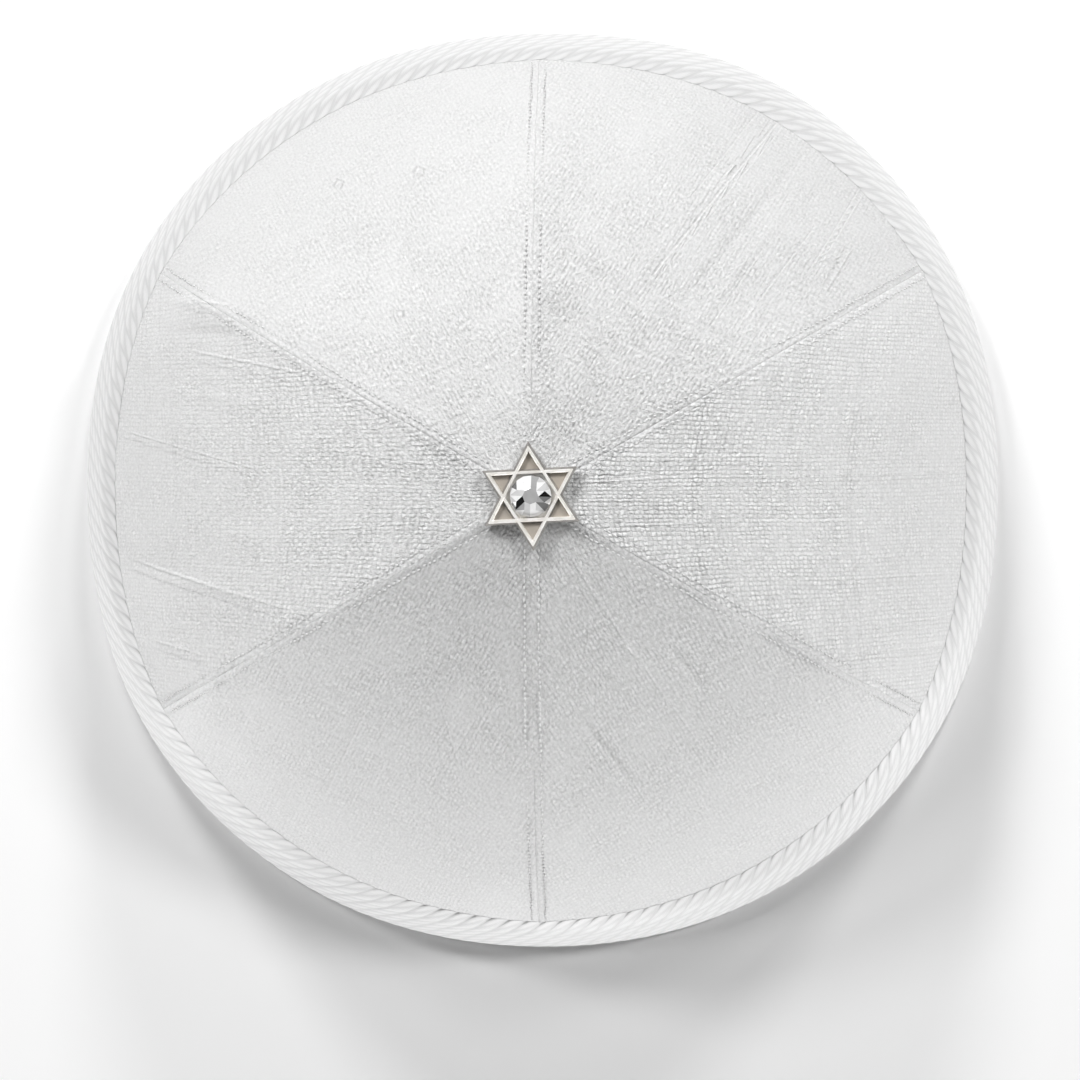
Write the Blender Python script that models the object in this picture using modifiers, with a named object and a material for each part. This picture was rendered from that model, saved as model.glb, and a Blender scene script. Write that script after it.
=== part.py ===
"""A six-panel skullcap: a hollow cloth crown with a braid round its rim and a metal star on top.

Metres, +Z up. The cap rests on its rim, with the origin on the floor below the crown's centre.
Seen from above, the seams run at 30 degrees from +X and every 60 degrees after it, and the
star's first point is near +Y.
"""

import math

import bmesh
import bpy
from mathutils import Vector

# Crown: the outer side of the cloth
CLOTH_RADIUS = 0.0849  # where the cloth's outer side would meet the floor
CROWN_DEPTH = 0.0600  # from the floor to the top of the cloth
CROWN_ARC = 65.0  # degrees that the crown turns through from its centre to the floor
CLOTH_WALL = 0.0011  # outer cloth with its backing
PANEL_COUNT = 6
FIRST_SEAM = 30.0  # degrees from +X
PANEL_FLAT_SHARE = 0.62  # 0 is a round crown, 1 has straight lines from seam to seam at the top
SEAM_GAP = 0.0003  # between neighbouring panels
FOLD_DEPTH = 0.0016  # the deepest soft fold of the panels
FOLD_FADE = 0.0148  # height above the braid at which the folds reach their full depth

# Braid folded over the crown's lower edge
BRAID_HEIGHT = 0.0108  # from the floor to its upper edge
BRAID_WALL = 0.0012
FOOT_ROUND = 0.0011  # height of the rounding beside the flat foot

# Star: two triangles of raised bars on a plate, soldered into one piece
STAR_TIP_RADIUS = 0.0090
STAR_TURN = 2.8  # degrees that the star is turned counter-clockwise
STAR_BAR_WIDTH = 0.00078
STAR_BAR_HEIGHT = 0.0020
STAR_BAR_CHAMFER = 0.00024
STAR_PLATE_HEIGHT = 0.0012
STAR_STEP = 0.00006  # one triangle lies this much lower than the other
WINDOW_FLOOR = 0.0007  # height of the floor under the crystal

# Crystal in the star's middle, as wide as the window lets it be
CRYSTAL_HEIGHT = 0.0019
GIRDLE_LOW = 0.0003  # height of the girdle's lower edge
GIRDLE_HIGH = 0.0005
TABLE_SHARE = 0.40  # of the crystal's radius at its girdle
STAR_FACET_SHARE = 0.72  # where the facets beside the table end, of the same radius
CRYSTAL_SIDES = 8

# Hidden post that holds the star through the crown's centre
STEM_RADIUS = 0.0009
SOCKET_DEPTH = 0.0004  # how far the stem reaches into the star's back
DISC_RADIUS = 0.0036
DISC_THICKNESS = 0.0008

CLEARANCE = 0.0003  # between pieces that touch
ROUND_STEPS = 72  # sides of the crown and the braid
CROWN_ROWS = 16
BRAID_ROWS = 4
POST_STEPS = 24
SOCKET_SIDES = 16
SMOOTH_ANGLE = 40.0  # degrees; sharper edges stay sharp

# The rim seen from above is not quite round: its radius at each angle, as a share of the mean.
# angle in degrees, share
RIM_OUTLINE = (
    (0, 0.985),
    (30, 1.010),
    (60, 1.013),
    (90, 0.987),
    (120, 1.001),
    (150, 1.005),
    (180, 0.986),
    (210, 1.002),
    (240, 1.000),
    (270, 0.990),
    (300, 1.002),
    (330, 1.003),
)

# Soft folds and dents of the panels. Each is a smooth mound: where its middle is, how far it
# reaches along its own run and across it, and how high it stands.
# angle in degrees, radius share, run in degrees, reach share, width share, height share
PANEL_FOLDS = (
    (246, 0.52, 246, 0.26, 0.085, -1.00),
    (262, 0.55, 262, 0.24, 0.070, 0.55),
    (198, 0.74, 168, 0.20, 0.045, 0.60),
    (203, 0.70, 168, 0.20, 0.045, -0.50),
    (152, 0.80, 176, 0.10, 0.050, 0.45),
    (292, 0.40, 300, 0.22, 0.060, -0.60),
    (318, 0.50, 310, 0.24, 0.080, 0.40),
    (57, 0.62, 57, 0.30, 0.060, 0.35),
    (118, 0.48, 120, 0.25, 0.110, -0.45),
    (2, 0.50, 0, 0.26, 0.120, -0.40),
)


def clear_scene():
    for thing in list(bpy.data.objects):
        bpy.data.objects.remove(thing, do_unlink=True)


def new_collection(name):
    collection = bpy.data.collections.new(name)
    bpy.context.scene.collection.children.link(collection)
    return collection


def new_material(name, colour, roughness, metallic=0.0):
    material = bpy.data.materials.new(name)
    material.use_nodes = True
    shader = material.node_tree.nodes["Principled BSDF"]
    shader.inputs["Base Color"].default_value = (*colour, 1.0)
    shader.inputs["Roughness"].default_value = roughness
    shader.inputs["Metallic"].default_value = metallic
    return material


def add_object(name, mesh, collection, material=None):
    thing = bpy.data.objects.new(name, mesh)
    collection.objects.link(thing)
    if material:
        mesh.materials.clear()
        mesh.materials.append(material)
    return thing


def make_cutter(thing):
    thing.hide_render = True
    thing.display_type = "WIRE"
    return thing


def add_boolean(thing, cutter, operation):
    modifier = thing.modifiers.new(operation.title(), "BOOLEAN")
    modifier.operation = operation
    modifier.object = cutter
    modifier.solver = "EXACT"


def evaluated_mesh(thing, name):
    """The mesh that an object's curve or modifiers give, with the caps welded."""
    bpy.context.view_layer.update()
    graph = bpy.context.evaluated_depsgraph_get()
    mesh = bpy.data.meshes.new_from_object(thing.evaluated_get(graph))
    mesh.name = name
    shape = bmesh.new()
    shape.from_mesh(mesh)
    bmesh.ops.remove_doubles(shape, verts=shape.verts, dist=1e-7)
    shape.to_mesh(mesh)
    shape.free()
    bpy.data.objects.remove(thing, do_unlink=True)
    return mesh


def smooth(mesh):
    mesh.shade_smooth()
    mesh.set_sharp_from_angle(angle=math.radians(SMOOTH_ANGLE))


def turned(name, profile, closed, steps, collection):
    """The mesh of a profile of (radius, height) points turned round the Z axis."""
    count = len(profile)
    edges = [(i, i + 1) for i in range(count - 1)]
    if closed:
        edges.append((count - 1, 0))
    outline = bpy.data.meshes.new(name)
    outline.from_pydata([(radius, 0.0, height) for radius, height in profile], edges, [])
    guide = add_object(name, outline, collection)
    screw = guide.modifiers.new("Turn", "SCREW")
    screw.steps = steps
    screw.render_steps = steps
    screw.use_merge_vertices = True
    screw.merge_threshold = 1e-6
    return evaluated_mesh(guide, name)


def flat_piece(name, outlines, low, high, collection):
    """A plate between two heights from its outline, with further outlines as its holes."""
    curve = bpy.data.curves.new(name, "CURVE")
    curve.dimensions = "2D"
    curve.fill_mode = "BOTH"
    curve.extrude = (high - low) / 2
    for outline in outlines:
        spline = curve.splines.new("POLY")
        spline.points.add(len(outline) - 1)
        for point, (x, y) in zip(spline.points, outline):
            point.co = (x, y, 0.0, 1.0)
        spline.use_cyclic_u = True
    guide = bpy.data.objects.new(name, curve)
    collection.objects.link(guide)
    mesh = evaluated_mesh(guide, name)
    for vertex in mesh.vertices:
        vertex.co.z += (low + high) / 2
    return mesh


def corners(count, radius, turn):
    """The corners of a regular outline, the first one at the turn, in degrees."""
    angles = [math.radians(turn + 360.0 * i / count) for i in range(count)]
    return [(radius * math.cos(angle), radius * math.sin(angle)) for angle in angles]


def crown_profile(share, out=0.0):
    """Radius and height of the crown's outline, from its centre (0) to the floor (1).

    The point is moved out along the outline's normal by a distance.
    """
    full = math.radians(CROWN_ARC)
    arc = full * share
    across = CLOTH_RADIUS / math.sin(full)
    down = CROWN_DEPTH / (1.0 - math.cos(full))
    radius = across * math.sin(arc)
    height = down * (math.cos(arc) - math.cos(full))
    normal = Vector((down * math.sin(arc), across * math.cos(arc))).normalized()
    return radius + out * normal.x, height + out * normal.y


def share_at_height(height, out=0.0):
    """The share at which the outline, moved out by a distance, passes a height.

    The height falls all the way down, so halving the stretch that holds it finds the place.
    """
    low, high = 0.0, 1.3
    for _ in range(40):
        middle = (low + high) / 2
        if crown_profile(middle, out)[1] > height:
            low = middle
        else:
            high = middle
    return (low + high) / 2


def share_at_radius(radius):
    full = math.radians(CROWN_ARC)
    return math.asin(radius * math.sin(full) / CLOTH_RADIUS) / full


def rim_share(angle):
    """The rim's radius at an angle in degrees, as a share of the mean, as one smooth loop."""
    count = len(RIM_OUTLINE)
    place = (angle % 360.0) / 360.0 * count
    row = int(place)
    t = place - row
    before, here, after, beyond = (RIM_OUTLINE[(row + i) % count][1] for i in (-1, 0, 1, 2))
    bend = 2 * before - 5 * here + 4 * after - beyond
    twist = 3 * (here - after) + beyond - before
    return here + 0.5 * t * (after - before + t * (bend + t * twist))


def panel_pull(angle, radius_share):
    """How far the cloth between two seams is pulled in towards a straight line."""
    width = 360.0 / PANEL_COUNT
    from_middle = (angle - FIRST_SEAM) % width - width / 2
    straight = math.cos(math.radians(width / 2)) / math.cos(math.radians(from_middle))
    return 1.0 - PANEL_FLAT_SHARE * (1.0 - radius_share**2) * (1.0 - straight)


def fold_height(x, y):
    """Height of the soft folds at a place seen from above."""
    total = 0.0
    for angle, radius, run, reach, width, height in PANEL_FOLDS:
        middle = Vector((math.cos(math.radians(angle)), math.sin(math.radians(angle))))
        offset = Vector((x, y)) / CLOTH_RADIUS - middle * radius
        along = Vector((math.cos(math.radians(run)), math.sin(math.radians(run))))
        far = offset.dot(along) / reach
        aside = (offset.y * along.x - offset.x * along.y) / width
        total += height * math.exp(-(far**2) - aside**2)
    return FOLD_DEPTH * total


def braid_fade(height):
    """0 beside the braid, rising to 1 above it, so that the folds end before the braid."""
    return min(1.0, max(0.0, (height - BRAID_HEIGHT) / FOLD_FADE))


def shape_as_worn(mesh):
    """Gives a turned mesh the rim's outline, the panels' flatness and their soft folds."""
    for vertex in mesh.vertices:
        x, y, height = vertex.co
        radius = math.hypot(x, y)
        angle = math.degrees(math.atan2(y, x))
        radius_share = min(1.0, radius / CLOTH_RADIUS)
        outline = 1.0 + (rim_share(angle) - 1.0) * radius_share
        scale = outline * panel_pull(angle, radius_share)
        vertex.co.x = x * scale
        vertex.co.y = y * scale
        lift = fold_height(vertex.co.x, vertex.co.y) * braid_fade(height)
        outward = Vector((x, y, CLOTH_RADIUS)).normalized()
        vertex.co += outward * lift


def crown_mesh(cutters):
    """The outer side of the whole crown, from the hole under the star into the braid."""
    hole = share_at_radius(STEM_RADIUS + 2 * CLEARANCE)
    edge = share_at_height(BRAID_WALL + CLEARANCE + CLOTH_WALL / 2)
    shares = [hole + (edge - hole) * i / CROWN_ROWS for i in range(CROWN_ROWS + 1)]
    mesh = turned("crown_cloth", [crown_profile(s) for s in shares], False, ROUND_STEPS, cutters)
    shape_as_worn(mesh)
    return mesh


def add_panels(collection, cutters):
    """Six gores: each is the crown's shell inside a wedge between two seams."""
    cloth = new_material("white_cloth", (0.84, 0.84, 0.84), 0.72)
    mesh = crown_mesh(cutters)
    mesh.materials.append(cloth)
    smooth(mesh)
    width = 360.0 / PANEL_COUNT
    reach = 2 * CLOTH_RADIUS
    for number in range(PANEL_COUNT):
        middle = math.radians(FIRST_SEAM + width * (number + 0.5))
        tip = SEAM_GAP / 2 / math.sin(math.radians(width / 2))
        far = [
            (reach * math.cos(middle + side), reach * math.sin(middle + side))
            for side in (-math.radians(width / 2), math.radians(width / 2))
        ]
        ends = [(0.0, 0.0), *far]
        outline = [(x + tip * math.cos(middle), y + tip * math.sin(middle)) for x, y in ends]
        wedge_mesh = flat_piece("wedge", [outline], -CROWN_DEPTH, 2 * CROWN_DEPTH, cutters)
        wedge = make_cutter(add_object(f"wedge_{number + 1}", wedge_mesh, cutters))
        panel = bpy.data.objects.new(f"panel_{number + 1}", mesh)
        collection.objects.link(panel)
        wall = panel.modifiers.new("Wall", "SOLIDIFY")
        wall.thickness = CLOTH_WALL
        wall.offset = -1.0
        add_boolean(panel, wedge, "INTERSECT")


def braid_side(out, low, high, rows):
    """Points down one side of the braid's section, from a high to a low height."""
    top = share_at_height(high, out)
    bottom = share_at_height(low, out)
    shares = [top + (bottom - top) * i / rows for i in range(rows + 1)]
    return [crown_profile(share, out) for share in shares]


def braid_section():
    """The braid's section: down its outer side, along the flat foot, and up round the slot."""
    outer = CLEARANCE + BRAID_WALL
    inner = -(CLOTH_WALL + CLEARANCE + BRAID_WALL)
    lip = BRAID_WALL / 2
    outside = braid_side(outer, FOOT_ROUND, BRAID_HEIGHT, BRAID_ROWS)
    inside = braid_side(inner, FOOT_ROUND, BRAID_HEIGHT, BRAID_ROWS)
    slot_outside = braid_side(CLEARANCE, BRAID_WALL, BRAID_HEIGHT, BRAID_ROWS)
    slot_inside = braid_side(-(CLOTH_WALL + CLEARANCE), BRAID_WALL, BRAID_HEIGHT, BRAID_ROWS)
    outer_lip = crown_profile(share_at_height(BRAID_HEIGHT + lip, outer - lip), outer - lip)
    inner_lip = crown_profile(share_at_height(BRAID_HEIGHT + lip, inner + lip), inner + lip)
    foot_round = FOOT_ROUND / 2
    foot_outside = (outside[-1][0] - foot_round, 0.0)
    foot_inside = (inside[-1][0] + foot_round, 0.0)
    return [
        outer_lip,
        *outside,
        foot_outside,
        foot_inside,
        *reversed(inside),
        inner_lip,
        *slot_inside,
        *reversed(slot_outside),
    ]


def add_braid(collection, cutters):
    mesh = turned("rim_braid", braid_section(), True, ROUND_STEPS, cutters)
    shape_as_worn(mesh)
    smooth(mesh)
    material = new_material("white_braid", (0.90, 0.90, 0.90), 0.55)
    add_object("rim_braid", mesh, collection, material)


def chamfer_top(mesh, height, width):
    """Chamfers the edges of a plate's outline at its top."""
    shape = bmesh.new()
    shape.from_mesh(mesh)
    edges = [
        edge
        for edge in shape.edges
        if min(vertex.co.z for vertex in edge.verts) > height - 1e-6
        and edge.calc_face_angle(0.0) > math.radians(45.0)
    ]
    bmesh.ops.bevel(shape, geom=edges, offset=width, segments=1, affect="EDGES")
    shape.to_mesh(mesh)
    shape.free()


def window_side():
    """Distance from the star's middle to each side of the window between its bars."""
    return STAR_TIP_RADIUS / 2 - STAR_BAR_WIDTH - STAR_STEP


def star_triangle(name, turn, drop, cutters):
    """One triangle of the star: an open frame of bars, and the plate between them."""
    frame_radii = (STAR_TIP_RADIUS, STAR_TIP_RADIUS - 2 * STAR_BAR_WIDTH)
    outlines = [corners(3, radius, turn) for radius in frame_radii]
    top = STAR_BAR_HEIGHT - drop
    bars = flat_piece(f"{name}_bars", outlines, drop, top, cutters)
    chamfer_top(bars, top, STAR_BAR_CHAMFER)
    outline = corners(3, STAR_TIP_RADIUS - STAR_BAR_WIDTH, turn)
    low = drop + STAR_STEP / 2
    plate = flat_piece(f"{name}_plate", [outline], low, STAR_PLATE_HEIGHT - drop, cutters)
    return bars, plate


def add_star(collection, cutters):
    """Two triangles soldered together, with a window for the crystal and a socket behind."""
    upper_bars, upper_plate = star_triangle("upper", 90.0, 0.0, cutters)
    lower_bars, lower_plate = star_triangle("lower", 270.0, STAR_STEP, cutters)
    silver = new_material("silver", (0.78, 0.75, 0.71), 0.28, metallic=1.0)
    star = add_object("star", upper_bars, collection, silver)
    window_outline = corners(6, window_side() / math.cos(math.radians(30.0)), 0.0)
    window = flat_piece("window", [window_outline], WINDOW_FLOOR, STAR_BAR_HEIGHT, cutters)
    socket_outline = corners(SOCKET_SIDES, STEM_RADIUS + CLEARANCE, 0.0)
    socket = flat_piece("socket", [socket_outline], -SOCKET_DEPTH, SOCKET_DEPTH, cutters)
    steps = (
        (upper_plate, "UNION"),
        (lower_bars, "UNION"),
        (lower_plate, "UNION"),
        (window, "DIFFERENCE"),
        (socket, "DIFFERENCE"),
    )
    for mesh, operation in steps:
        cutter = make_cutter(add_object(mesh.name, mesh, cutters))
        cutter.parent = star
        add_boolean(star, cutter, operation)
    return star


def add_crystal(collection):
    """A round cut stone: a table, star facets, kite facets, girdle facets and a flat back."""
    half = 180.0 / CRYSTAL_SIDES
    girdle = window_side() - CLEARANCE
    table = TABLE_SHARE * girdle
    middle = STAR_FACET_SHARE * girdle
    fall = (middle * math.cos(math.radians(half)) - table) / (girdle - table)
    middle_height = CRYSTAL_HEIGHT + fall * (GIRDLE_HIGH - CRYSTAL_HEIGHT)
    rings = (
        (CRYSTAL_SIDES, table, 0.0, CRYSTAL_HEIGHT),
        (CRYSTAL_SIDES, middle, half, middle_height),
        (2 * CRYSTAL_SIDES, girdle, 0.0, GIRDLE_HIGH),
        (2 * CRYSTAL_SIDES, girdle, 0.0, GIRDLE_LOW),
        (CRYSTAL_SIDES, girdle - GIRDLE_LOW, 0.0, 0.0),
    )
    shape = bmesh.new()
    for sides, radius, turn, height in rings:
        for x, y in corners(sides, radius, turn):
            shape.verts.new((x, y, height))
    bmesh.ops.convex_hull(shape, input=shape.verts)
    bmesh.ops.dissolve_limit(
        shape, angle_limit=math.radians(0.5), verts=shape.verts, edges=shape.edges
    )
    mesh = bpy.data.meshes.new("crystal")
    shape.to_mesh(mesh)
    shape.free()
    return add_object("crystal", mesh, collection, new_material("crystal", (0.93, 0.93, 0.95), 0.04))


def add_post(collection, cutters):
    """Stem and disc behind the cloth, as one turned pin. Its origin is the crown's top."""
    star_back = CLEARANCE
    stem_top = star_back + SOCKET_DEPTH - CLEARANCE
    sag = CROWN_DEPTH - crown_profile(share_at_radius(DISC_RADIUS))[1]
    disc_top = -(CLOTH_WALL + CLEARANCE + sag * (1.0 + PANEL_FLAT_SHARE))
    disc_bottom = disc_top - DISC_THICKNESS
    profile = [
        (0.0, stem_top),
        (STEM_RADIUS, stem_top),
        (STEM_RADIUS, disc_top),
        (DISC_RADIUS, disc_top),
        (DISC_RADIUS, disc_bottom),
        (0.0, disc_bottom),
    ]
    mesh = turned("star_post", profile, False, POST_STEPS, cutters)
    smooth(mesh)
    return add_object("star_post", mesh, collection, new_material("steel", (0.6, 0.6, 0.6), 0.35, 1.0))


def build():
    clear_scene()
    parts = new_collection("kippah_skullcap")
    cutters = new_collection("cutters")
    add_panels(parts, cutters)
    add_braid(parts, cutters)
    star = add_star(parts, cutters)
    crystal = add_crystal(parts)
    post = add_post(parts, cutters)
    top = bpy.data.objects.new("crown_top", None)
    parts.objects.link(top)
    top.location = (0.0, 0.0, CROWN_DEPTH)
    for thing in (star, crystal, post):
        thing.parent = top
    star.location = (0.0, 0.0, CLEARANCE)
    star.rotation_euler = (0.0, 0.0, math.radians(STAR_TURN))
    crystal.location = (0.0, 0.0, CLEARANCE + WINDOW_FLOOR + CLEARANCE)


build()
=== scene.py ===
"""Looks of a white six-panel skullcap: slubbed cloth, topstitched seams, twisted braid, silver star.

Metres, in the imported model's frame. The crown's formula repeats the one that the solids are
built from, so the fine surfaces lie where the solids are.
"""

import math

import bmesh
import bpy
import numpy as np
from mathutils import Matrix, Vector


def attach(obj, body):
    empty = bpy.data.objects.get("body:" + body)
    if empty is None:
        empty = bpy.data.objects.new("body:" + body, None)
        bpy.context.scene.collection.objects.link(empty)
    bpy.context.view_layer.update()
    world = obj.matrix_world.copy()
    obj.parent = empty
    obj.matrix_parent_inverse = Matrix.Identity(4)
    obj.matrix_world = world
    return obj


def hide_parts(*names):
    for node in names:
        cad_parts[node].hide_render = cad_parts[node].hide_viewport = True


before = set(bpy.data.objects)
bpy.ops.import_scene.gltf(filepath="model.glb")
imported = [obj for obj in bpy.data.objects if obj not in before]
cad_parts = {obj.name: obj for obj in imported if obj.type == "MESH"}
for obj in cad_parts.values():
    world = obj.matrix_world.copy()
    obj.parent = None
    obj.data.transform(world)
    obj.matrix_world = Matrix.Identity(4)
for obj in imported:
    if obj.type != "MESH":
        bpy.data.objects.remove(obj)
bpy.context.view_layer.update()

MM = 0.001

# Crown, as in the solids
CLOTH_RADIUS = 0.0849
CROWN_DEPTH = 0.0600
CROWN_ARC = 65.0
CLOTH_WALL = 0.0011
PANEL_COUNT = 6
FIRST_SEAM = 30.0
PANEL_FLAT_SHARE = 0.62
FOLD_DEPTH = 0.0016
FOLD_FADE = 0.0148
BRAID_HEIGHT = 0.0108
BRAID_WALL = 0.0012
FOOT_ROUND = 0.0011
STEM_RADIUS = 0.0009
CLEARANCE = 0.0003

# The rim's radius every 30 degrees from +X, as a share of the mean
RIM_OUTLINE = (0.985, 1.010, 1.013, 0.987, 1.001, 1.005, 0.986, 1.002, 1.000, 0.990, 1.002, 1.003)

# Soft folds of the solids
# angle in degrees, radius share, run in degrees, reach share, width share, height share
PANEL_FOLDS = (
    (246, 0.52, 246, 0.26, 0.085, -1.00),
    (262, 0.55, 262, 0.24, 0.070, 0.55),
    (198, 0.74, 168, 0.20, 0.045, 0.60),
    (203, 0.70, 168, 0.20, 0.045, -0.50),
    (152, 0.80, 176, 0.10, 0.050, 0.45),
    (292, 0.40, 300, 0.22, 0.060, -0.60),
    (318, 0.50, 310, 0.24, 0.080, 0.40),
    (57, 0.62, 57, 0.30, 0.060, 0.35),
    (118, 0.48, 120, 0.25, 0.110, -0.45),
    (2, 0.50, 0, 0.26, 0.120, -0.40),
)

# Fine wrinkles that the solids leave out, in the same columns; heights in shares of WRINKLE_HEIGHT
WRINKLE_HEIGHT = 0.00045
WRINKLES = (
    (193, 0.80, 172, 0.16, 0.012, 1.00),
    (196, 0.72, 166, 0.14, 0.010, -0.80),
    (206, 0.82, 160, 0.12, 0.012, 0.90),
    (210, 0.78, 160, 0.12, 0.010, -0.70),
    (151, 0.82, 170, 0.06, 0.014, 0.90),
    (154, 0.76, 175, 0.07, 0.012, -0.60),
    (163, 0.66, 172, 0.12, 0.012, 0.50),
    (238, 0.60, 246, 0.16, 0.016, -0.90),
    (252, 0.45, 250, 0.14, 0.016, 0.60),
    (312, 0.465, 308, 0.055, 0.014, -1.00),
    (286, 0.536, 306, 0.065, 0.016, -1.00),
    (273, 0.440, 306, 0.060, 0.020, -0.70),
    (296, 0.44, 312, 0.16, 0.012, 0.70),
    (305, 0.60, 300, 0.16, 0.016, 0.50),
    (330, 0.52, 318, 0.14, 0.018, -0.60),
    (52, 0.70, 52, 0.26, 0.010, -0.60),
    (48, 0.66, 52, 0.30, 0.012, 0.60),
)

# Seam relief, in metres from the seam's line and above the cloth
SEAM_CREASE = (0.00022, -0.00030)  # width, height
SEAM_VALLEY = (0.00150, -0.00020)  # the wide hollow of a seam without a sharp crease
SEAM_RIDGE = (0.00060, 0.00030, 0.00012)  # distance, width, height
STITCH_GROOVE = (0.00125, 0.00028, -0.00008)
SEAM_SWELL = (0.00205, 0.00060, 0.00003)
SEAM_FADE = (0.020, 0.085, 0.40)  # where a seam's relief begins and stops fading, what is left
STITCH_PITCH = 0.00105
STITCH_LENGTH = 0.00070
STITCH_THICKNESS = 0.00032
STITCH_SHAKE = 0.00008  # how far a stitch lies from its even place
STITCH_START = 0.0092  # along the seam, from the crown's centre
STITCH_END = 0.0015  # above the braid
STITCH_REACH = 0.0004  # how far from a stitch's middle its directions are measured
STITCH_LIFT = 0.02  # its middle's height, in shares of its thickness
STITCH_SIDES = 6
STITCH_RINGS = 4
STITCH_STRANDS = 3
STITCH_TWIST = 0.35  # how far its strands wind from one ring to the next

# How sharp each seam's crease is near the star and near the rim, from the first seam on
SEAM_SHARPNESS = ((0.75, 0.55), (0.15, 0.25), (0.60, 0.60), (0.20, 0.90), (0.15, 0.85), (0.75, 0.50))
SHARPNESS_CHANGE = (0.020, 0.070)  # where along a seam it changes from one to the other
CREASE_BEAT = 0.023  # between the deepest places of a crease
PUCKER_BEATS = (0.0061, 0.0137)  # the two waves that pucker a seam's ridges
SEAM_ZONE = 0.0034  # the width beside a seam with the closest columns of points
SEAM_ZONE_SHARE = 0.36  # the most of a panel's half width that it takes

# Fine relief of the whole cloth
WAVE_LENGTHS = np.linspace(0.006, 0.026, 16)
WAVE_RISE = 0.0022  # a wave's height, in shares of its length
STAR_FADE = (0.004, 0.009)  # the radii between which the relief begins, beside the star
BRAID_FADE = 0.004  # how far above the braid it has its full height

# Grid of each panel
PANEL_ROWS = 241
PANEL_HALF_COLUMNS = 80
SEAM_COLUMNS = 18
INNER_STEP = 4

# Braid
RIB_COUNT = 157
RIB_COLUMNS = 10  # points along the rim for each rib
RIB_SWEEP = 2.8  # how many ribs a rib runs past on its way down
RIB_BEND = 0.70  # below 1, so that ribs look straight from above
RIB_TURNS = 4.4  # how many twists of its strands show on the way down
RIB_SLANT = 0.9  # how many twists of its strands lie across it
RIB_RISE = 0.00023
RIB_ROUNDNESS = 3.0  # the higher, the flatter a rib's top
RIB_TIP = 0.00040  # how far a rib's tip reaches up over the cloth
TIP_SHARE = 0.10  # the share of the way down that the tip takes
STRAND_SHARE = 0.70  # how much of a rib's rise follows its twisted strands
# How much of their rise the ribs have: share of the way down, share of the rise
RIB_RELIEF = ((0.0, 0.10), (0.14, 0.90), (0.45, 0.90), (0.95, 0.30))
BRAID_ROWS = 20
ROW_CROWDING = 1.3  # above 1, so that the rows are closest at the braid's edge
BAND_WALL = 0.0008
EDGE_LIFT = 0.00003  # how far the braid's edge stands over the cloth
EDGE_ROUND = 0.0026  # how far below its edge the braid has its full thickness
SLOT_LAP = 0.0002  # how far the walls of its slot lie inside the cloth
SLOT_DROP = 0.0006  # how far below its edge they end

# Weave
WEFT_PITCH = 0.74  # millimetres, between the threads that run along a panel's middle line
WARP_PITCH = 0.47
COLUMN_PITCH = 0.8  # between the warp threads that stand out
WEAVE_SHIFT = 61.0  # from one panel's place in the pattern to the next

# How much of each panel's texture is regular rows and how much is grain, from panel_1 on
PANEL_WEAVE = ((0.60, 1.40), (0.35, 1.15), (0.80, 1.30), (0.55, 1.15), (0.60, 1.10), (1.20, 1.00))

# Painted light and shade: how much lighter or darker each panel's colour is made near the star and near
# the rim, in place of the light falling on it and the shine of its weave
PANEL_PAINTED_LIGHT = ((1.04, 0.92), (1.07, 0.92), (1.03, 0.92), (0.77, 1.05), (0.83, 1.01), (1.00, 1.00))
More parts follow.
